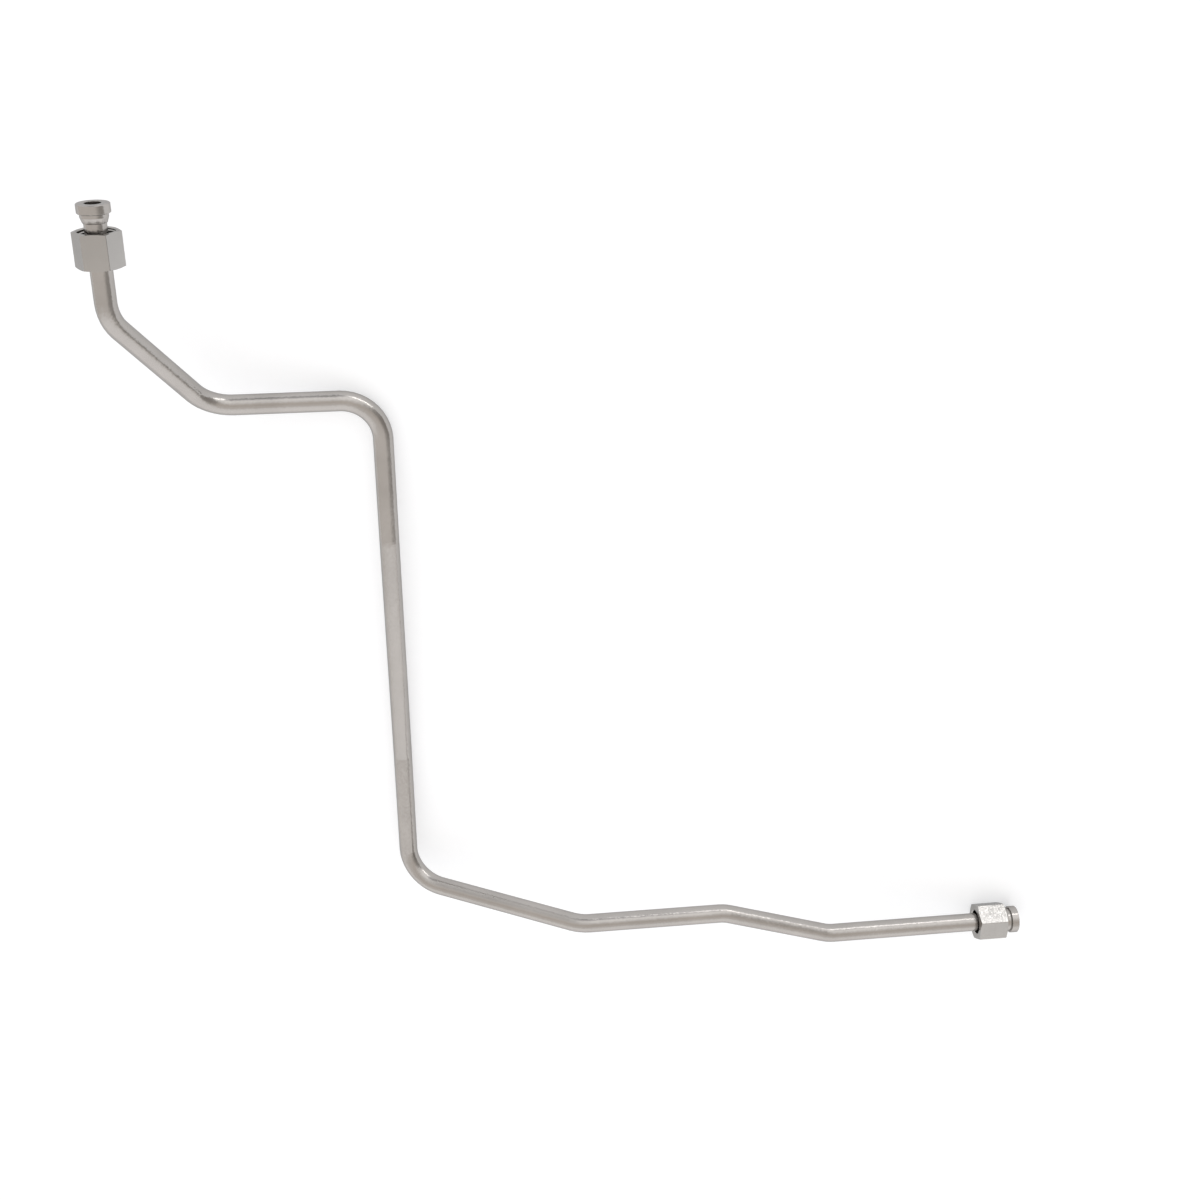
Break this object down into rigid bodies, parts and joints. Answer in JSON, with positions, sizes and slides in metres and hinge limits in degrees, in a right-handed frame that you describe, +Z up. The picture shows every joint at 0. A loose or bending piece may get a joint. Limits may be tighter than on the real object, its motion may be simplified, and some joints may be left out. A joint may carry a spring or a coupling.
{
  "type": "bent tube assembly",
  "caption": "Bent steel hydraulic tube with brazed flat-faced sleeves and loose hexagonal coupling nuts at its ends, to carry oil between fittings.",
  "frame": {"origin": "middle of the base of the part's box, on the surface that the part lies on", "axes": "+X towards the lower end, along the level direction of its last run; +Y towards the upper end; +Z up from the surface"},
  "size_m": [0.5958, 0.5378, 0.0793],
  "materials": {
    "tube_steel": "satin, fine drawn grain, slightly warm grey",
    "sleeve_steel": "satin turned",
    "nut_steel": "satin, fine mottle on the flats"
  },
  "bodies": {
    "bent_tube": {"tube": "tube_steel", "upper_sleeve": "sleeve_steel", "lower_sleeve": "sleeve_steel"},
    "upper_coupling": {"upper_nut": "nut_steel"},
    "lower_coupling": {"lower_nut": "nut_steel"}
  },
  "joints": [
    {"name": "upper_nut_slide", "type": "slide", "parent": "bent_tube", "child": "upper_coupling", "axis": [-0.0156, 0.9961, -0.0873], "range_m": [-0.0196, 0.0228]},
    {"name": "lower_nut_slide", "type": "slide", "parent": "bent_tube", "child": "lower_coupling", "axis": [0.9844, 0, -0.1757], "range_m": [-0.1045, 0.0173]}
  ]
}
